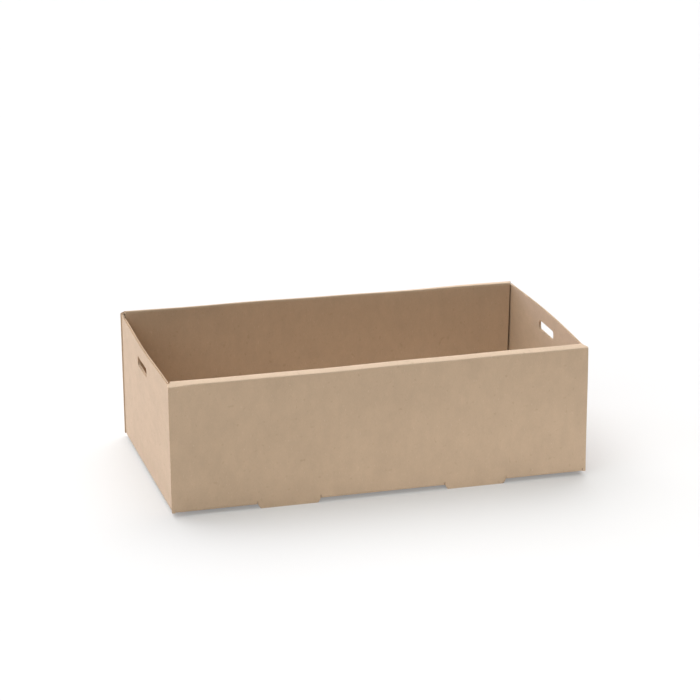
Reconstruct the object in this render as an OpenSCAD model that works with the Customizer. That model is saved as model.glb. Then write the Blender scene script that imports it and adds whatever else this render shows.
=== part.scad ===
// Catering tray box folded from one sheet of fine-flute kraft corrugated board.
// Millimetres. The feet stand on z = 0, the long walls run along X and the front is at -Y.

/* [Board] */
// Thickness of the board
board_t = 1.5; // [1:0.1:1.8]
// Radius on the inside of every fold
fold_r = 0.5; // [0.3:0.1:1]
// Clearance between layers of board that lie side by side
slack = 0.15; // [0.1:0.05:0.3]
// Width of the gap that opens at a knife cut
knife_gap = 0.4; // [0.2:0.1:0.8]

/* [Tray] */
// Length of the long walls
tray_l = 256; // [230:1:360]
// Width over the outer faces of the long walls
tray_w = 152; // [120:1:260]
// Height of the long walls from the underside of the base to the outer fold of the rail
wall_h = 78; // [60:1:110]

/* [Rolled-over long walls] */
// Width of the rail along the top of each double wall
rail_w = 7; // [6.5:0.5:12]
// Rise of the rail from its outer fold to its inner fold
rail_rise = 0.9; // [0:0.1:1.5]
// Gap between an end wall and the upper corner of the lining
lining_gap = 0.3; // [0.2:0.1:2]
// Narrowing of the lining at each end, from the rail down to its lower edge
lining_taper = 1.2; // [0:0.1:3]

/* [Feet and locking tabs] */
// Distance between the middles of the two feet of a long wall
foot_pitch = 115; // [90:1:124]
// Length of a foot at the lower fold
foot_l = 38; // [36:1:48]
// Distance from the underside of the base down to the lower edge of the feet
foot_drop = 2.5; // [2:0.5:4]
// Length of a locking tab at the lower edge of the lining
lock_l = 32; // [24:1:33]
// Distance by which a locking tab reaches below the underside of the base
lock_drop = 1.5; // [1:0.1:1.8]
// Narrowing of a foot or a locking tab at each side, down to its tip
tip_taper = 1.5; // [0.5:0.1:2]
// Radius of the corners at the tip of a foot or a locking tab
tip_r = 0.8; // [0.3:0.1:1.2]

/* [End walls] */
// Distance from the end of the long walls in to the outer face of the end walls
end_inset = 0.3; // [0.2:0.1:1.5]
// Distance from the outer fold of the rail down to the top edge of an end wall at its corners
end_down = 0.5; // [0:0.5:8]
// Rise of the arched top edge in the middle of an end wall
arch_rise = 1; // [0.5:0.1:6]
// Length of the slot in an end wall
slot_l = 28; // [20:1:60]
// Height of the slot
slot_h = 6; // [5:0.1:12]
// Radius of the corners of the slot
slot_r = 2; // [0.5:0.1:2.4]
// Distance from the top edge of the end wall at its corners down to the middle of the slot
slot_down = 10.5; // [9:0.5:30]

/* [Corner flaps] */
// Length of a corner flap from the outer face of the end wall
flap_l = 50; // [30:1:52]
// Narrowing of a corner flap at its upper and its lower edge, out to its free end
flap_taper = 5; // [0.5:0.5:12]
// Distance from the outer fold of the rail down to the upper edge of the corner flaps
flap_down = 2; // [2:0.5:12]
// Distance by which the lowered corners of an end wall reach in past the rail
shoulder_w = 0.5; // [0.5:0.5:4]

/* [Hidden] */
fold_out = fold_r + board_t;
fold_arc = (fold_r + board_t / 2) * PI / 2;
fold_steps = 8;
layer = board_t + slack;
lap = 2 * board_t;
clear = 5;

half_l = tray_l / 2;
half_w = tray_w / 2;
base_z = foot_drop;
wall_z = base_z + fold_out;
rail_z = base_z + wall_h;
join_z = base_z + wall_h / 2;

lock_in = max(2 * fold_out + foot_drop - fold_arc, 3 * layer);
lining_in = lock_in - slack;
lining_z = base_z + layer;
lock_z = base_z - lock_drop;

end_x = half_l - end_inset;
base_x = end_x - fold_out;
lining_x = end_x - board_t - lining_gap;
end_z = rail_z - end_down;
slot_z = end_z - slot_down;
arch_y = half_w - rail_w - shoulder_w;
arch_r = (arch_y * arch_y + arch_rise * arch_rise) / (2 * arch_rise);
flap_y = half_w - layer;
flap_z = rail_z - flap_down;

function unit(v) = v / norm(v);
function left(v) = [-v.y, v.x];
function turned(v, a) = [v.x * cos(a) - v.y * sin(a), v.x * sin(a) + v.y * cos(a)];
function turn(a, b) = atan2(a.x * b.y - a.y * b.x, a * b);
function reversed(list) = [for (i = [len(list) - 1:-1:0]) list[i]];

// Points of a round bend to the left at b on the way from a to c, inset from the outside of the bend
function bend(a, b, c, r, inset = 0) =
    let (go = unit(b - a), on = unit(c - b), n = left(go), m = left(on))
    let (centre = b + r * (n + m) / (1 + n * m))
    [for (i = [0:fold_steps]) centre - (r - inset) * turned(n, turn(go, on) * i / fold_steps)];

// One face of a strip of board that folds to the left at each point along its way
function face(way, inset) =
    let (last = len(way) - 1)
    let (start = left(unit(way[1] - way[0])), end = left(unit(way[last] - way[last - 1])))
    concat(
        [way[0] + inset * start],
        [for (i = [1:last - 1]) each bend(way[i - 1], way[i], way[i + 1], fold_out, inset)],
        [way[last] + inset * end]
    );

// Section of a folded strip, given by the fold points on its outer face
module strip(way) {
    polygon(concat(face(way, 0), reversed(face(way, board_t))));
}

// Runs a Y-Z outline along X
module along_x(length) {
    rotate([90, 0, 90])
        linear_extrude(height = length, center = true)
            children();
}

// Runs an X-Z outline along Y
module along_y(length) {
    rotate([90, 0, 0])
        linear_extrude(height = length, center = true)
            children();
}

// Sets what it is given at both ends, or on both sides, of the tray
module both() {
    for (side = [0, 180])
        rotate([0, 0, side])
            children();
}

module at_feet() {
    for (side = [-1, 1])
        translate([side * foot_pitch / 2, 0])
            children();
}

// Outline of a foot or a locking tab: straight from top to root, then tapered to its tip
module tongue(length, top, root, tip) {
    half = length / 2;
    tip_half = half - tip_taper;
    polygon(concat(
        [[half, root], [half, top], [-half, top], [-half, root]],
        bend([-half, root], [-tip_half, tip], [tip_half, tip], tip_r),
        bend([-tip_half, tip], [tip_half, tip], [half, root], tip_r)
    ));
}

// Base and the lower halves of the long walls, up to the join with the rolled-over halves
module trough() {
    difference() {
        along_x(tray_l)
            strip([[-half_w, join_z], [-half_w, base_z], [half_w, base_z], [half_w, join_z]]);
        both()
            trough_waste();
    }
    both()
        translate([0, half_w - board_t / 2, 0])
            along_y(board_t)
                wall_tongues();
}

// What is cut from one end of the base, and from one long fold to free its feet
module trough_waste() {
    half = foot_l / 2 + knife_gap;
    low_z = base_z - clear;
    translate([base_x, -half_w - clear, low_z])
        cube([half_l - base_x + clear, tray_w + 2 * clear, wall_z - low_z]);
    translate([0, half_w, low_z])
        linear_extrude(height = wall_z - low_z)
            at_feet()
                polygon([[-half, clear], [-half, -fold_out], [tip_taper - half, -lock_in],
                         [half - tip_taper, -lock_in], [half, -fold_out], [half, clear]]);
}

// Feet of one long wall, and its lower corners beyond the ends of the base
module wall_tongues() {
    corner_l = half_l - base_x - knife_gap;
    at_feet()
        tongue(foot_l, wall_z + lap, base_z, 0);
    for (x = [-half_l, half_l - corner_l])
        translate([x, base_z])
            square([corner_l, fold_out + lap]);
}

// Upper half of one long wall, rolled over into the rail and down inside as the lining
module roll_over() {
    inner_fold = [half_w - rail_w, rail_z + rail_rise];
    lining_foot = [half_w - lining_in, lining_z];
    lining_tip = lining_foot + (lining_z - lock_z + lap) * unit(lining_foot - inner_fold);
    difference() {
        along_x(tray_l)
            strip([[half_w, join_z], [half_w, rail_z], inner_fold, lining_tip]);
        rail_waste();
        mirror([1, 0, 0])
            rail_waste();
        along_y(2 * tray_w)
            lock_waste();
    }
}

// What is cut from one end of the rail, as a mitre, and of the lining, as a taper
module rail_waste() {
    past = half_l + clear;
    under_rail = rail_z - fold_out;
    translate([0, half_w, under_rail])
        linear_extrude(height = fold_out + rail_rise + clear)
            polygon([[half_l + slack, -board_t / 2], [lining_x, board_t - rail_w],
                     [lining_x, -rail_w - clear], [past, -rail_w - clear], [past, -board_t / 2]]);
    translate([0, half_w - layer - rail_w / 2, 0])
        along_y(rail_w)
            polygon([[lining_x, under_rail + fold_r], [lining_x - lining_taper, lining_z],
                     [lining_x - lining_taper, -clear], [past, -clear], [past, under_rail + fold_r]]);
}

// What is cut from the lower edge of the lining to leave its locking tabs
module lock_waste() {
    difference() {
        translate([-half_l - clear, -clear])
            square([tray_l + 2 * clear, lining_z + clear]);
        at_feet()
            tongue(lock_l, lining_z + lap, lining_z, lock_z);
    }
}

// One end wall with its fold to the base and its two corner flaps
module end_wall() {
    flap_x = end_x - flap_l;
    along_y(2 * (flap_y - fold_out - knife_gap))
        strip([[base_x - lap, base_z], [end_x, base_z], [end_x, wall_z + lap]]);
    difference() {
        intersection() {
            translate([0, 0, wall_z])
                linear_extrude(height = end_z + arch_rise)
                    strip([[flap_x, -flap_y], [end_x, -flap_y], [end_x, flap_y], [flap_x, flap_y]]);
            along_x(2 * tray_l)
                end_outline();
        }
        along_y(2 * tray_w)
            flap_waste();
    }
}

// Upright outline of an end wall, with its arched top edge, lowered corners and slot
module end_outline() {
    difference() {
        union() {
            translate([-half_w, 0])
                square([tray_w, flap_z]);
            intersection() {
                translate([-arch_y, 0])
                    square([2 * arch_y, end_z + arch_rise + clear]);
                translate([0, end_z + arch_rise - arch_r])
                    circle(r = arch_r, $fn = 720);
            }
        }
        translate([0, slot_z])
            slot();
    }
}

module slot() {
    low = [slot_l, -slot_h] / 2;
    high = [slot_l, slot_h] / 2;
    polygon(concat(
        bend(-high, low, high, slot_r),
        bend(low, high, -low, slot_r),
        bend(high, -low, -high, slot_r),
        bend(-low, -high, low, slot_r)
    ));
}

// What is cut from the upper and the lower edges of the corner flaps
module flap_waste() {
    root = end_x - fold_out;
    tip = end_x - flap_l - clear;
    polygon([[root, flap_z], [root, flap_z + clear], [tip, flap_z + clear], [tip, flap_z - flap_taper]]);
    polygon([[root, wall_z], [tip, wall_z + flap_taper], [tip, wall_z - clear], [root, wall_z - clear]]);
}

module tray() {
    color([0.75, 0.62, 0.48])
        union() {
            trough();
            both() {
                roll_over();
                end_wall();
            }
        }
}

tray();
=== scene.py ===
"""A folded kraft board tray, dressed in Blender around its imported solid."""
import math

import bmesh
import bpy
import numpy as np
from mathutils import Matrix, Vector


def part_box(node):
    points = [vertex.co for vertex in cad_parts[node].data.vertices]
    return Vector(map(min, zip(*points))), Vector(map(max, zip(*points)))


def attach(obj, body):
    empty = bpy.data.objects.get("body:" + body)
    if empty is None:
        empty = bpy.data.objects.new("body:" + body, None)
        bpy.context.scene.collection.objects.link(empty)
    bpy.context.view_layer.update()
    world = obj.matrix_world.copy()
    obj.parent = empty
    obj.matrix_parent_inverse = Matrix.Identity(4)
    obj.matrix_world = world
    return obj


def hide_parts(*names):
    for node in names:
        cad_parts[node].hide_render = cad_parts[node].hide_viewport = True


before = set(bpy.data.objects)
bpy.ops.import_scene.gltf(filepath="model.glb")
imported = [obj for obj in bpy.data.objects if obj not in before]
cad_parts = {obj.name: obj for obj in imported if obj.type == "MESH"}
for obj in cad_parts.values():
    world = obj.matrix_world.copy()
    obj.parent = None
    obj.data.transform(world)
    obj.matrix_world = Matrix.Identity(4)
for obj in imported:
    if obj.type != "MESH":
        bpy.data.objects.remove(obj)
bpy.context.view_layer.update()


# The board sheet: one die-cut blank of unbleached kraft corrugated board, creased and folded
# into base, end walls and rolled-over side walls that grip the corner flaps. It is copied from
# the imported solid, its raw edges are opened between the two paper liners, and it is let settle.
MM = 0.001
NEAR = 0.1 * MM                   # slack for picking faces and points by where they lie
BOARD = 1.5 * MM                  # whole thickness of the board
LINER = 0.27 * MM                 # paper on each face of it
CUT_DEPTH = 0.35 * MM             # how far a raw edge is open between the liners
low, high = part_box("tray")
BASE_Z = 2.5 * MM                 # underside of the base, above the floor
RAIL_Z = BASE_Z + 78 * MM         # outer fold of the rails
RAIL_W, RAIL_RISE = 7.0 * MM, 0.9 * MM
LINING_FOOT = (71.2 * MM, 4.15 * MM)      # lower edge of the lining, outward and up
LINING_ENDS = (124.7 * MM, 125.9 * MM)    # at the foot and at the rail
MITRE_Y = (70.5 * MM, 74.93 * MM)         # the slanting end of a rail runs from here to here
END_WALL_X = (high.x - 1.8 * MM, high.x - 0.3 * MM)     # inner and outer face of an end wall
END_WALL_Y = 68.5 * MM            # half width of an end wall between the rails
CORNER_Y = 72.3 * MM              # where an end wall starts to turn into its corner flaps
END_WALL_TOP = RAIL_Z - 0.5 * MM  # its arched rim lies above this
SHOULDER_Z = RAIL_Z - 2 * MM      # its upper edge beside the rails
SLOT_Z = RAIL_Z - 11 * MM         # middle of the slots
SLOT_HALF = (14.0 * MM, 3.0 * MM)
FOOT_END = 77 * MM                # outer ends of the feet

FOLD_OUT = 2.0 * MM               # outer radius that the solid's folds have
ROLL_Z = RAIL_Z - 0.9 * FOLD_OUT  # above this a side wall is rolling over
FOLD_CRISPNESS = 0.6              # 0 leaves a fold round, 1 draws it out to a sharp edge
FOLD_SLACK = 0.1                  # radians; an angle further before a fold belongs to the next turn


def round_fold(before, corner, after):
    """Centre of the fold that rounds a corner of the board's outer face, and the two angles,
    outward and up, between which it turns."""
    ways = np.diff([before, corner, after], axis=0)
    ways /= np.linalg.norm(ways, axis=1, keepdims=True)
    faces = np.column_stack([ways[:, 1], -ways[:, 0]])
    centre = corner - FOLD_OUT * faces.sum(axis=0) / (1 + faces[0] @ faces[1])
    start = math.atan2(faces[0][1], faces[0][0])
    return centre, (start, start + math.acos(faces[0] @ faces[1]))


OUTER_FOLD, INNER_FOLD = (high.y, RAIL_Z), (high.y - RAIL_W, RAIL_Z + RAIL_RISE)
WALL_FOOT, END_WALL_FOOT = (high.y, BASE_Z), (END_WALL_X[1], BASE_Z)
RAIL_FOLDS = [round_fold(WALL_FOOT, OUTER_FOLD, INNER_FOLD),
              round_fold(OUTER_FOLD, INNER_FOLD, LINING_FOOT)]
BASE_FOLDS = [round_fold((0, BASE_Z), WALL_FOOT, OUTER_FOLD),
              round_fold((0, BASE_Z), END_WALL_FOOT, (END_WALL_X[1], RAIL_Z))]
FOLDS = ((1, *RAIL_FOLDS[0]), (1, *RAIL_FOLDS[1]), (1, *BASE_FOLDS[0]), (0, *BASE_FOLDS[1]))


def crease(points):
    """Draws the round folds of the solid out to the crisp creases that scored board has."""
    for axis, centre, (start, end) in FOLDS:
        side = np.sign(points[:, axis])
        arm = np.column_stack([np.abs(points[:, axis]), points[:, 2]]) - centre
        angle = np.arctan2(arm[:, 1], arm[:, 0])
        angle = np.where(angle < start - FOLD_SLACK, angle + 2 * np.pi, angle)
        folded = np.abs(np.linalg.norm(arm, axis=1) - FOLD_OUT) < LINER + NEAR / 2
        folded &= (angle > start) & (angle < end)
        half_turn = (end - start) / 2
        inwards = np.where(folded, half_turn - np.abs(angle - start - half_turn), 0)
        arm *= (1 + FOLD_CRISPNESS * (1 / np.cos(inwards) - 1))[:, None]
        moved = np.column_stack([side * (centre[0] + arm[:, 0]), centre[1] + arm[:, 1]])
        points[:, (axis, 2)] = np.where(folded[:, None], moved, points[:, (axis, 2)])
    return points


LEFT_BELLY, RIGHT_BELLY = 1.6 * MM, 0.8 * MM      # how far the end walls belly out at their rims
RIGHT_LEAN = 0.8 * MM             # how far the right end leans in at the base
LINING_DRAW = 0.4 * MM            # how far the right ends of the linings draw in from the end wall
DRAWN_X = (END_WALL_X[0] - 3 * MM, END_WALL_X[0] - 2 * MM)      # where that begins and is full
RAIL_RIPPLE = 0.16 * MM           # unevenness of the rolled-over rails
RIPPLE_WAVES = ((41, 1, 1.0), (89, 2, 0.6))       # radians to the metre, turns of its phase, height
RIPPLE_PHASES = (0.4, 2.9)        # of the front and of the back rail
BACK_SPRING = 3.0 * MM            # rise of the back rail's inner fold at its left end
BACK_LIFT = 1.0 * MM              # and of its outer fold there
FRONT_LIFT = 0.5 * MM             # rise of the front rail at its right end
CORNER_CRUSH = 1.0 * MM           # how far the front rail's outer fold is pressed down at its left end
CRUSH_LENGTH = 14 * MM
SHOULDER_LIFT = ((68.5 * MM, 72.3 * MM, 74.3 * MM), (1.35 * MM, 0.6 * MM, 0))     # outward, up
MITRE_LIFT = 1.45 * MM            # rise of a right-hand shoulder where it is clear of the rail's mitre
MITRE_CLEAR = 1.9 * MM            # distance from the mitre at which it has that rise
ON_EDGE = 0.02 * MM               # slack for the points of an edge


def smooth(value, start, end):
    """A smooth step from 0 at start to 1 at end."""
    t = np.clip((value - start) / (end - start), 0, 1)
    return t * t * (3 - 2 * t)


def end_shift(x, y, z, rise):
    """How far points move along the tray, as end walls belly out, linings draw in and an end leans."""
    end_wall = np.abs(x) > END_WALL_X[0] - NEAR
    belly = np.where(x < 0, LEFT_BELLY, RIGHT_BELLY) * np.clip(1 - (y / CORNER_Y) ** 2, 0, 1) ** 2
    lining = (np.abs(y) > INNER_FOLD[0] - NEAR) & (np.abs(y) < CORNER_Y) & ~end_wall
    draw = LINING_DRAW * smooth(x, *DRAWN_X) * smooth(z, RAIL_Z + RAIL_RISE, RAIL_Z - FOLD_OUT)
    lean = RIGHT_LEAN * (1 - rise) * smooth(x, FOOT_END, high.x)
    return np.sign(x) * belly * rise * end_wall - draw * lining - lean


def rail_lift(x, y, z, rise):
    """How far points move up, as rails run uneven and spring up at an end, a front corner is pressed
    down and the end walls push up into the rails' mitres."""
    outward = np.abs(y)
    inner = 1 - smooth(outward, INNER_FOLD[0] + 1 * MM, high.y)
    phase = np.where(y < 0, *RIPPLE_PHASES)
    ripple = sum(height * np.sin(x * pace + turns * phase) for pace, turns, height in RIPPLE_WAVES)
    leftward = (high.x - x) / (high.x - low.x)
    back = leftward * (BACK_SPRING * inner + BACK_LIFT * (1 - inner))
    crush = CORNER_CRUSH * smooth(x, low.x + CRUSH_LENGTH, low.x) * (1 - inner)
    front = FRONT_LIFT * smooth(x, 0, high.x) - crush
    rail = (RAIL_RIPPLE * ripple + np.where(y < 0, front, back)) * (outward > END_WALL_Y + NEAR)
    shoulder = (np.abs(z - SHOULDER_Z) < ON_EDGE) & (np.abs(x) > END_WALL_X[0] - FOLD_OUT)
    shoulder &= (outward > END_WALL_Y - NEAR) & (outward < SHOULDER_LIFT[0][-1])
    clear = np.interp(x, (LINING_ENDS[1], high.x), MITRE_Y) - outward
    mitred = MITRE_LIFT * smooth(clear, 0, MITRE_CLEAR) * (x > 0)
    return rail * rise + np.maximum(np.interp(outward, *SHOULDER_LIFT), mitred) * shoulder


def settle(points):
    """Moves points of the dead flat blank to where the folded board comes to rest."""
    x, y, z = points.T
    rise = smooth(z, BASE_Z + BOARD, RAIL_Z - FOLD_OUT)
    return np.column_stack([x + end_shift(x, y, z, rise), y, z + rail_lift(x, y, z, rise)])


def open_raw_edge(sheet, cut, push):
    """Opens the board between its liners over the faces that cut picks, pushing them in along push."""
    faces = [f for f in sheet.faces if cut(f.calc_center_median(), f.normal)]
    bmesh.ops.inset_region(sheet, faces=faces, thickness=LINER, use_boundary=True)
    moves = {}
    for face in faces:
        for vert in face.verts:
            moves.setdefault(vert, []).append(push(face.calc_center_median(), face.normal))
    for vert, pushes in moves.items():
        total = Vector(np.mean([tuple(p) for p in pushes], axis=0))
        vert.co += total.normalized() * CUT_DEPTH


def add_piece(name, sheet):
    """A new object from a bmesh, which is freed."""
    mesh = bpy.data.meshes.new(name)
    sheet.to_mesh(mesh)
    sheet.free()
    piece = bpy.data.objects.new(name, mesh)
    bpy.context.scene.collection.objects.link(piece)
    return piece


FACING, EDGE_ON = 0.8, 0.1        # least share of a normal along an axis, and most of one across it
SLANT, ROUND_TIP = 0.01, 0.3      # least slope of a lining's tapered end, and of a foot's lower edge


def is_side_wall_end(c, n):
    """The raw end of a side wall, over the rail and down the lining."""
    wall = abs(c.x) > high.x - NEAR
    rail = c.z > ROLL_Z and abs(c.y) > END_WALL_Y
    lining = abs(n.z) > SLANT and abs(c.y) > END_WALL_Y
    return abs(n.x) > FACING and c.z > BASE_Z and (wall or rail or lining)


def is_arched_rim(c, n):
    """The raw upper edge of an end wall."""
    return n.z > FACING and abs(c.x) > END_WALL_X[0] and abs(c.y) < END_WALL_Y and c.z > END_WALL_TOP


def is_slot_edge(c, n):
    """The raw edge round a slot."""
    return (abs(n.x) < EDGE_ON and abs(c.x) > END_WALL_X[0] and abs(c.y) < SLOT_HALF[0] + NEAR
            and abs(c.z - SLOT_Z) < SLOT_HALF[1] + NEAR)


def is_foot_edge(c, n):
    """The raw lower edge of a foot."""
    return n.z < -ROUND_TIP and abs(c.y) > high.y - BOARD and c.z < BASE_Z - NEAR


WELD = 0.002 * MM                 # points of the solid's facets that lie closer are one
FLAT = math.radians(0.3)          # facets that meet at less are one panel
CELL = 8 * MM                     # longest facet along a panel
ON_CELL = 0.001 * MM              # points this close to a cell's edge are on it
HARD_EDGE = math.radians(28)      # facets that meet at more keep a hard edge
PANEL_WEIGHT = 100                # how far large facets rule the shading of small ones

sheet = bmesh.new()
sheet.from_mesh(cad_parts["tray"].data)
bmesh.ops.remove_doubles(sheet, verts=sheet.verts, dist=WELD)
bmesh.ops.dissolve_limit(sheet, angle_limit=FLAT, verts=sheet.verts, edges=sheet.edges)
open_raw_edge(sheet, is_side_wall_end, lambda c, n: Vector((-math.copysign(1, c.x), 0, 0)))
open_raw_edge(sheet, is_arched_rim, lambda c, n: Vector((0, 0, -1)))
open_raw_edge(sheet, is_slot_edge, lambda c, n: -n)
open_raw_edge(sheet, is_foot_edge, lambda c, n: -n)

for axis in range(3):
    normal = Vector([axis == 0, axis == 1, axis == 2])
    count = math.ceil((high[axis] - low[axis]) / CELL)
    for step in range(1, count):
        at = Vector(low)
        at[axis] += (high[axis] - low[axis]) * step / count
        bmesh.ops.bisect_plane(sheet, geom=sheet.verts[:] + sheet.edges[:] + sheet.faces[:],
                               plane_co=at, plane_no=normal, dist=ON_CELL)
bmesh.ops.triangulate(sheet, faces=sheet.faces)
tray_board = add_piece("tray_board", sheet)

tray_board.data.shade_smooth()
tray_board.data.set_sharp_from_angle(angle=HARD_EDGE)
points = np.empty(len(tray_board.data.vertices) * 3)
tray_board.data.vertices.foreach_get("co", points)
points = settle(crease(points.reshape(-1, 3)))
tray_board.data.vertices.foreach_set("co", points.ravel())
tray_board.data.update()
weighted = tray_board.modifiers.new("flat_panels", "WEIGHTED_NORMAL")
weighted.keep_sharp = True
weighted.weight = PANEL_WEIGHT


def add(tree, kind, inputs=None, **settings):
    """Adds a shader node. Each input is a value, or another node's output to link."""
    made = tree.nodes.new("ShaderNode" + kind)
    for key, value in settings.items():
        setattr(made, key, value)
    for key, value in (inputs or {}).items():
        if isinstance(value, bpy.types.NodeSocket):
            tree.links.new(value, made.inputs[key])
        else:
            made.inputs[key].default_value = value
    return made


def combine(tree, operation, *values):
    """The output of one math node on values or outputs."""
    return add(tree, "Math", dict(enumerate(values)), operation=operation).outputs[0]


def srgb(red, green, blue):
    """A linear colour from the 0 to 255 numbers of a colour picker."""
    linear = [c / 12.92 if c < 0.04045 else ((c + 0.055) / 1.055) ** 2.4
              for c in (red / 255, green / 255, blue / 255)]
    return (*linear, 1)


def new_group(name, inputs, outputs):
    """A shader node group with named value sockets, its input node and its output node."""
    group = bpy.data.node_groups.new(name, "ShaderNodeTree")
    for label in inputs:
        group.interface.new_socket(label, in_out="INPUT", socket_type="NodeSocketFloat")
    for label in outputs:
        group.interface.new_socket(label, in_out="OUTPUT", socket_type="NodeSocketFloat")
    return group, group.nodes.new("NodeGroupInput"), group.nodes.new("NodeGroupOutput")


FLUTE_PITCH = 3.3 * MM            # from wave to wave of the fluting, which shows through the liners
SIDE_FACING = 0.7                 # a face's normal across the tray, from which on it is a side wall's
WIDE_CLOUDS, SMALL_CLOUDS = (55, 1.3, 2), (230, 1.6, 2)     # grains to the metre, stretch, detail
STRANDS = (2800, 4, 2)
BARK, BARK_RANGE, BARK_DEPTH = (450, 1.3, 0), (0.74, 0.86), 0.55
SPECKS, SPECK_RANGE, SPECK_DEPTH = (1700, 2.2, 0), (0.79, 0.84), 0.7
PALE, PALE_RANGE, PALE_DEPTH = (2300, 6, 0), (0.24, 0.17), 1.0


def make_kraft_pulp():
    """Kraft paper's own pattern: clouds of pulp, fibres that lie along the paper machine's run,
    dark specks of bark and pale loose fibres. The run is up the side walls and across the rest."""
    labels = ("Shade", "Specks", "Pale fibres", "Height")
    group, given, result = new_group("kraft_pulp", ("Clouds", "Fibres", "Washboard"), labels)
    coordinates = add(group, "TexCoord")
    place = add(group, "SeparateXYZ", {0: coordinates.outputs["Object"]}).outputs
    facing = add(group, "SeparateXYZ", {0: coordinates.outputs["Normal"]}).outputs
    side_wall = combine(group, "GREATER_THAN", combine(group, "ABSOLUTE", facing["Y"]), SIDE_FACING)
    across = add(group, "Mix", {0: side_wall, 2: place["Z"], 3: place["Y"]}).outputs[0]
    run = add(group, "Mix", {0: side_wall, 2: place["Y"], 3: place["Z"]}).outputs[0]

    def pulp(grains, stretch, detail):
        """Noise of so many grains to the metre, drawn out along the run."""
        where = add(group, "CombineXYZ", {0: place["X"], 1: across,
                                          2: combine(group, "DIVIDE", run, stretch)})
        return add(group, "TexNoise", {"Vector": where.outputs[0], "Scale": grains,
                                       "Detail": detail}).outputs[0]

    def spots(noise, noise_range, depth):
        """Spots where the noise goes beyond the start of a range, at full depth from its end."""
        start, end = noise_range
        return add(group, "MapRange", {0: pulp(*noise), 1: start, 2: end, 4: depth}).outputs[0]

    clouds = combine(group, "ADD", pulp(*WIDE_CLOUDS), pulp(*SMALL_CLOUDS))
    clouds = combine(group, "MULTIPLY", combine(group, "SUBTRACT", clouds, 1.0), given.outputs["Clouds"])
    strands = combine(group, "SUBTRACT", pulp(*STRANDS), 0.5)
    fibres = combine(group, "MULTIPLY", strands, given.outputs["Fibres"])
    shade = combine(group, "ADD", combine(group, "ADD", clouds, fibres), 1.0)
    specks = combine(group, "MAXIMUM", spots(SPECKS, SPECK_RANGE, SPECK_DEPTH),
                     spots(BARK, BARK_RANGE, BARK_DEPTH))
    pale = spots(PALE, PALE_RANGE, PALE_DEPTH)
    flutes = combine(group, "SINE", combine(group, "MULTIPLY", run, 2 * math.pi / FLUTE_PITCH))
    height = combine(group, "MULTIPLY_ADD", flutes, given.outputs["Washboard"], strands)
    for label, value in zip(labels, (shade, specks, pale, height)):
        group.links.new(value, result.inputs[label])
    return group


KRAFT = srgb(196, 172, 146)
KRAFT_SPECK, SPECK_SHARE = srgb(138, 106, 76), 0.3
KRAFT_PALE, PALE_SHARE = srgb(222, 202, 178), 0.3
KRAFT_ROUGHNESS, KRAFT_SPECULAR = 0.86, 0.25
KRAFT_RELIEF, RELIEF_STRENGTH = 0.06 * MM, 0.5
LINER_PULP = {"Clouds": 0.15, "Fibres": 0.14, "Washboard": 0.12}

kraft_pulp = make_kraft_pulp()


def make_kraft(name, colour, strengths):
    """Plain kraft paper in a given colour, with its pulp pattern at the given strengths."""
    material = bpy.data.materials.new(name)
    material.use_nodes = True
    tree = material.node_tree
    shader = tree.nodes["Principled BSDF"]
    pulp = add(tree, "Group", node_tree=kraft_pulp)
    for label, value in strengths.items():
        pulp.inputs[label].default_value = value
    tint = add(tree, "Mix", {0: 1.0, 6: colour, 7: pulp.outputs["Shade"]},
               data_type="RGBA", blend_type="MULTIPLY").outputs[2]
    specks = combine(tree, "MULTIPLY", pulp.outputs["Specks"], SPECK_SHARE)
    tint = add(tree, "Mix", {0: specks, 6: tint, 7: KRAFT_SPECK}, data_type="RGBA").outputs[2]
    pale = combine(tree, "MULTIPLY", pulp.outputs["Pale fibres"], PALE_SHARE)
    tint = add(tree, "Mix", {0: pale, 6: tint, 7: KRAFT_PALE}, data_type="RGBA").outputs[2]
    relief = add(tree, "Bump", {"Strength": RELIEF_STRENGTH, "Distance": KRAFT_RELIEF,
                                "Height": pulp.outputs["Height"]})
    tree.links.new(tint, shader.inputs["Base Color"])
    tree.links.new(relief.outputs[0], shader.inputs["Normal"])
    shader.inputs["Roughness"].default_value = KRAFT_ROUGHNESS
    shader.inputs["Specular IOR Level"].default_value = KRAFT_SPECULAR
    return material


tray_board.data.materials.append(make_kraft("kraft_liner", KRAFT, LINER_PULP))

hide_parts("tray")
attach(tray_board, "root")


# The fluting: the waved paper glued between the liners, which shows only where the board is cut.
# It runs along the side walls and up the end walls, so their ends and rims are cut across it,
# and the slots' short sides and the feet are cut along it.
FLUTE_PAPER = 0.17 * MM
FLUTE_SWING = (BOARD - 2 * LINER - FLUTE_PAPER) / 2
FLUTE_RECESS = 0.02 * MM          # the knife drags the waves in a little
FLUTE_STEPS = 10                  # facets to a wave
FLUTE_STEP = FLUTE_PITCH / FLUTE_STEPS
FLUTE_HARD_EDGE = math.radians(45)
FOLD_POINTS = 10                  # points round a fold of the rolled section
ARCH_RISE = 1.0 * MM
RIM_HALF = END_WALL_Y - 0.6 * MM  # half of the stretch of a rim that shows its waves
SLOT_R = 2.0 * MM
SLOT_STRAIGHT = [half - SLOT_R - NEAR for half in SLOT_HALF]    # its straight sides, between the corners
FOOT_X, FOOT_HALF = 57.5 * MM, 16.6 * MM  # middle of a foot, and half of its straight lower edge


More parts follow.
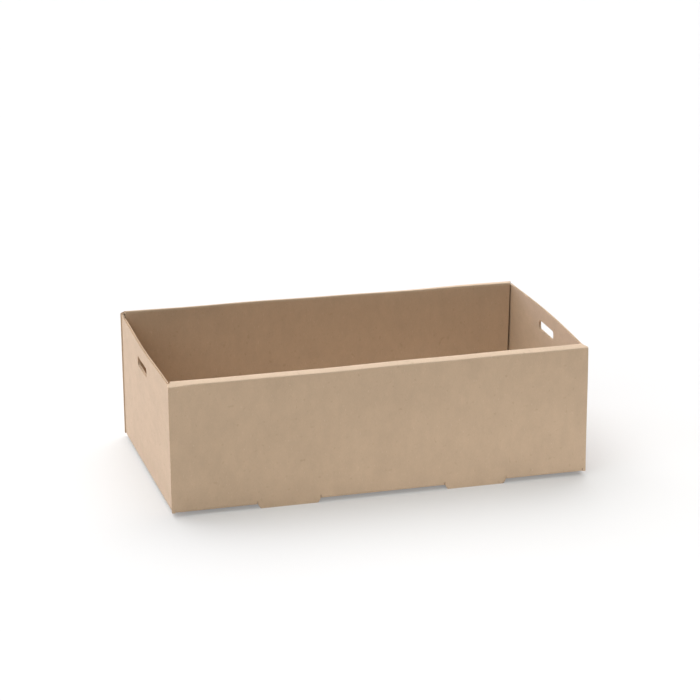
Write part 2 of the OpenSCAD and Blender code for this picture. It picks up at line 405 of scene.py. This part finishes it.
def add_waves(parts, cut, across, into, along):
    """Adds one strip of fluting behind the points of a cut. Its waves follow the cut, or where
    along is true they go into the board, so that the cut runs along a single wave."""
    cut, across, into = (np.broadcast_to(a, np.shape(cut)) for a in (cut, across, into))
    run = np.r_[0, np.cumsum(np.linalg.norm(np.diff(cut, axis=0), axis=1))]
    depths = np.linspace(FLUTE_RECESS, CUT_DEPTH, FLUTE_STEPS if along else 2)
    phase = np.add.outer(0 * run, depths) if along else np.add.outer(run, 0 * depths)
    swing = FLUTE_SWING * np.sin(phase * 2 * np.pi / FLUTE_PITCH)
    middle = cut[:, None] + into[:, None] * depths[:, None] + across[:, None] * swing[..., None]
    half = across[:, None] * FLUTE_PAPER / 2
    rows, columns = swing.shape
    number = np.arange(2 * rows * columns).reshape(2, rows, columns) + parts["count"]
    parts["points"] += [(middle + half).reshape(-1, 3), (middle - half).reshape(-1, 3)]
    parts["count"] += number.size
    for grid, order in zip(number, (1, -1)):
        quads = np.stack([grid[:-1, :-1], grid[1:, :-1], grid[1:, 1:], grid[:-1, 1:]], -1)
        parts["faces"] += quads.reshape(-1, 4)[:, ::order].tolist()
    upper, lower = np.concatenate([number[:, :-1, 0], number[:, -1, :-1],
                                   number[:, :0:-1, -1], number[:, 0, :0:-1]], axis=1)
    rim = np.stack([lower, np.roll(lower, -1), np.roll(upper, -1), upper], -1)
    parts["faces"] += rim.tolist()


def even_steps(line, step):
    """Points at even steps along a line of points."""
    run = np.r_[0, np.cumsum(np.linalg.norm(np.diff(line, axis=0), axis=1))]
    at = np.linspace(0, run[-1], math.ceil(run[-1] / step) + 1)
    return np.column_stack([np.interp(at, run, column) for column in np.transpose(line)])


def straight(start, end, step):
    """Points at even steps from start to end."""
    return np.linspace(start, end, math.ceil(math.dist(start, end) / step) + 1)


def rolled_section():
    """The middle of the board round a side wall, its rail and its lining, as outward and up."""
    line = [(high.y - BOARD / 2, BASE_Z + LINER)]
    for centre, (start, end) in RAIL_FOLDS:
        turn = np.linspace(start, end, FOLD_POINTS)
        arms = (FOLD_OUT - BOARD / 2) * np.column_stack([np.cos(turn), np.sin(turn)])
        line += (centre + arms).tolist()
    line.append((LINING_FOOT[0] + BOARD / 2, LINING_FOOT[1] + LINER))
    return np.array(line)


waves = {"points": [], "faces": [], "count": 0}
section = even_steps(rolled_section(), FLUTE_STEP)
heading = np.gradient(section, axis=0)
heading /= np.linalg.norm(heading, axis=1, keepdims=True)
outward, up = section.T
lining_end = np.interp(up, (LINING_FOOT[1], RAIL_Z - FOLD_OUT), LINING_ENDS)
mitre_end = np.interp(outward, MITRE_Y, (LINING_ENDS[1], high.x))
wall_end = np.where(outward > high.y - BOARD, high.x, lining_end)
reach = np.where(up > ROLL_Z, mitre_end, wall_end)
for side_x in (-1, 1):
    middle_x = side_x * sum(END_WALL_X) / 2
    for side_y in (-1, 1):
        cut = np.column_stack([side_x * reach, side_y * outward, up])
        across = np.column_stack([0 * up, side_y * heading[:, 1], -heading[:, 0]])
        add_waves(waves, cut, across, (-side_x, 0, 0), False)
        foot = np.array((side_x * FOOT_X, side_y * (high.y - BOARD / 2), 0))
        cut = straight(foot - (FOOT_HALF, 0, 0), foot + (FOOT_HALF, 0, 0), CELL)
        add_waves(waves, cut, (0, 1, 0), (0, 0, 1), True)
    rim = straight((middle_x, -RIM_HALF, END_WALL_TOP), (middle_x, RIM_HALF, END_WALL_TOP), FLUTE_STEP)
    rim[:, 2] += ARCH_RISE * (1 - (rim[:, 1] / END_WALL_Y) ** 2)
    add_waves(waves, rim, (1, 0, 0), (0, 0, -1), False)
    long_half, short_half = SLOT_STRAIGHT
    for side in (-1, 1):
        edge_y, edge_z = side * SLOT_HALF[0], SLOT_Z + side * SLOT_HALF[1]
        cut = straight((middle_x, -long_half, edge_z), (middle_x, long_half, edge_z), FLUTE_STEP)
        add_waves(waves, cut, (1, 0, 0), (0, 0, side), False)
        low_z, high_z = SLOT_Z - short_half, SLOT_Z + short_half
        cut = straight((middle_x, edge_y, low_z), (middle_x, edge_y, high_z), CELL)
        add_waves(waves, cut, (1, 0, 0), (0, side, 0), True)

mesh = bpy.data.meshes.new("tray_fluting")
mesh.from_pydata(settle(np.vstack(waves["points"])).tolist(), [], waves["faces"])
tray_fluting = bpy.data.objects.new("tray_fluting", mesh)
bpy.context.scene.collection.objects.link(tray_fluting)
strips = bmesh.new()
strips.from_mesh(mesh)
bmesh.ops.recalc_face_normals(strips, faces=strips.faces)
strips.to_mesh(mesh)
strips.free()
mesh.shade_smooth()
mesh.set_sharp_from_angle(angle=FLUTE_HARD_EDGE)

FLUTE_BROWN = srgb(192, 166, 138)
FLUTE_PULP = {"Clouds": 0.3, "Fibres": 0.6, "Washboard": 0.0}
mesh.materials.append(make_kraft("fluting_paper", FLUTE_BROWN, FLUTE_PULP))

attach(tray_fluting, "root")


# The stage: a plain matt floor of warm white paper that runs far behind the tray and keeps its
# soft shadow. To the camera a quarter of it is plain white, so the shadow stays pale.
FLOOR_HALF = 6.0
FLOOR_PAPER = (0.80, 0.755, 0.70, 1)      # what lights the tray from below
FLOOR_SEEN = (0.69, 0.675, 0.645, 1)      # what the camera sees, under the white
FLOOR_WHITE_SHARE = 0.25
WHITE = (1, 1, 1, 1)

ground = bmesh.new()
bmesh.ops.create_grid(ground, x_segments=1, y_segments=1, size=FLOOR_HALF)
floor = add_piece("floor", ground)
floor.location.z = low.z
floor_paper = bpy.data.materials.new("floor_paper")
floor_paper.use_nodes = True
tree = floor_paper.node_tree
tree.nodes.clear()


def seen_ray(tree):
    """1 for what the camera sees, directly or in gloss or glass, and 0 for light that bounces."""
    ray = add(tree, "LightPath").outputs
    either = combine(tree, "MAXIMUM", ray["Is Camera Ray"], ray["Is Glossy Ray"])
    return combine(tree, "MAXIMUM", either, ray["Is Transmission Ray"])


paper = add(tree, "BsdfDiffuse", {"Color": FLOOR_PAPER})
shown = add(tree, "BsdfDiffuse", {"Color": FLOOR_SEEN})
white = add(tree, "Emission", {"Color": WHITE, "Strength": 1.0})
shown = add(tree, "MixShader", {0: FLOOR_WHITE_SHARE, 1: shown.outputs[0], 2: white.outputs[0]})
both = add(tree, "MixShader", {0: seen_ray(tree), 1: paper.outputs[0], 2: shown.outputs[0]})
add(tree, "OutputMaterial", {"Surface": both.outputs[0]})
floor.data.materials.append(floor_paper)


# The light: broad soft banks high behind, low at the back left and high at the front left, with
# weak ones overhead and in front, and two small lamps that graze the floor before the tray so that
# it lights the front wall from below. The room itself is seen only as white.
ROOM_LIGHT = 0.02
BANKS = (                         # name, where it stands from the tray, spread in degrees, strength, colour
    ("back_bank", (0.0, 0.50, 0.87), 70, 3.75, (1.0, 1.0, 1.04)),
    ("low_left_bank", (-0.80, 0.60, 0.06), 30, 1.45, (0.96, 1.0, 1.27)),
    ("high_left_bank", (-0.55, -0.45, 0.70), 60, 1.2, (0.93, 1.0, 1.02)),
    ("ceiling_bank", (0.0, 0.0, 1.0), 100, 0.4, (0.97, 1.0, 1.1)),
    ("front_bank", (0.80, -0.56, 0.21), 50, 0.16, (1.1, 1.0, 0.8)),
)
FILLS = (                         # name, where it stands, where it points, watts, colour
    ("right_fill", (0.35, -1.2, 0.12), (0.267, -0.851, 0.0), 27, (1.0, 1.0, 1.03)),
    ("left_fill", (-0.15, -1.2, 0.12), (-0.12, -0.851, 0.0), 7.5, (1.1, 1.0, 0.85)),
)
FILL_CONE, FILL_SOFT_EDGE, FILL_BULB = math.radians(36), 1.0, 0.02

studio = bpy.data.worlds.new("studio")
bpy.context.scene.world = studio
studio.use_nodes = True
tree = studio.node_tree
tree.nodes.clear()
room = add(tree, "Background", {"Color": WHITE, "Strength": ROOM_LIGHT})
white = add(tree, "Background", {"Color": WHITE, "Strength": 1.0})
both = add(tree, "MixShader", {0: seen_ray(tree), 1: room.outputs[0], 2: white.outputs[0]})
add(tree, "OutputWorld", {"Surface": both.outputs[0]})


def add_lamp(name, kind, towards, energy, colour):
    """A lamp that shines along towards."""
    lamp = bpy.data.lights.new(name, kind)
    lamp.energy = energy
    lamp.color = colour
    stand = bpy.data.objects.new(name, lamp)
    stand.rotation_euler = Vector(towards).to_track_quat("-Z", "Y").to_euler()
    bpy.context.scene.collection.objects.link(stand)
    return stand


for name, stands, spread, strength, colour in BANKS:
    bank = add_lamp(name, "SUN", -Vector(stands), strength, colour)
    bank.data.angle = math.radians(spread)
for name, stands, aim, watts, colour in FILLS:
    fill = add_lamp(name, "SPOT", Vector(aim) - Vector(stands), watts, colour)
    fill.location = stands
    fill.data.spot_size = FILL_CONE
    fill.data.spot_blend = FILL_SOFT_EDGE
    fill.data.shadow_soft_size = FILL_BULB


# The camera, at the photograph's view: a long lens in front of the tray and to its left, turned
# towards it and dipped over the rim, with the slight roll that the photograph has.
CAMERA_AT = (-0.4221, -1.6208, 0.5940)
CAMERA_LENS, CAMERA_SENSOR = 147.2, 36
CAMERA_REACH = 20                 # metres, past the far edge of the floor
TURN, DIP, ROLL = math.radians(14.61), math.radians(17.43), math.radians(-0.73)

camera = bpy.data.objects.new("camera", bpy.data.cameras.new("camera"))
camera.data.lens = CAMERA_LENS
camera.data.sensor_width = CAMERA_SENSOR
camera.data.clip_end = CAMERA_REACH
camera.matrix_world = (Matrix.Translation(CAMERA_AT) @ Matrix.Rotation(-TURN, 4, "Z")
                       @ Matrix.Rotation(math.pi / 2 - DIP, 4, "X") @ Matrix.Rotation(ROLL, 4, "Z"))
bpy.context.scene.collection.objects.link(camera)
bpy.context.scene.camera = camera
bpy.context.scene.view_settings.view_transform = "Standard"
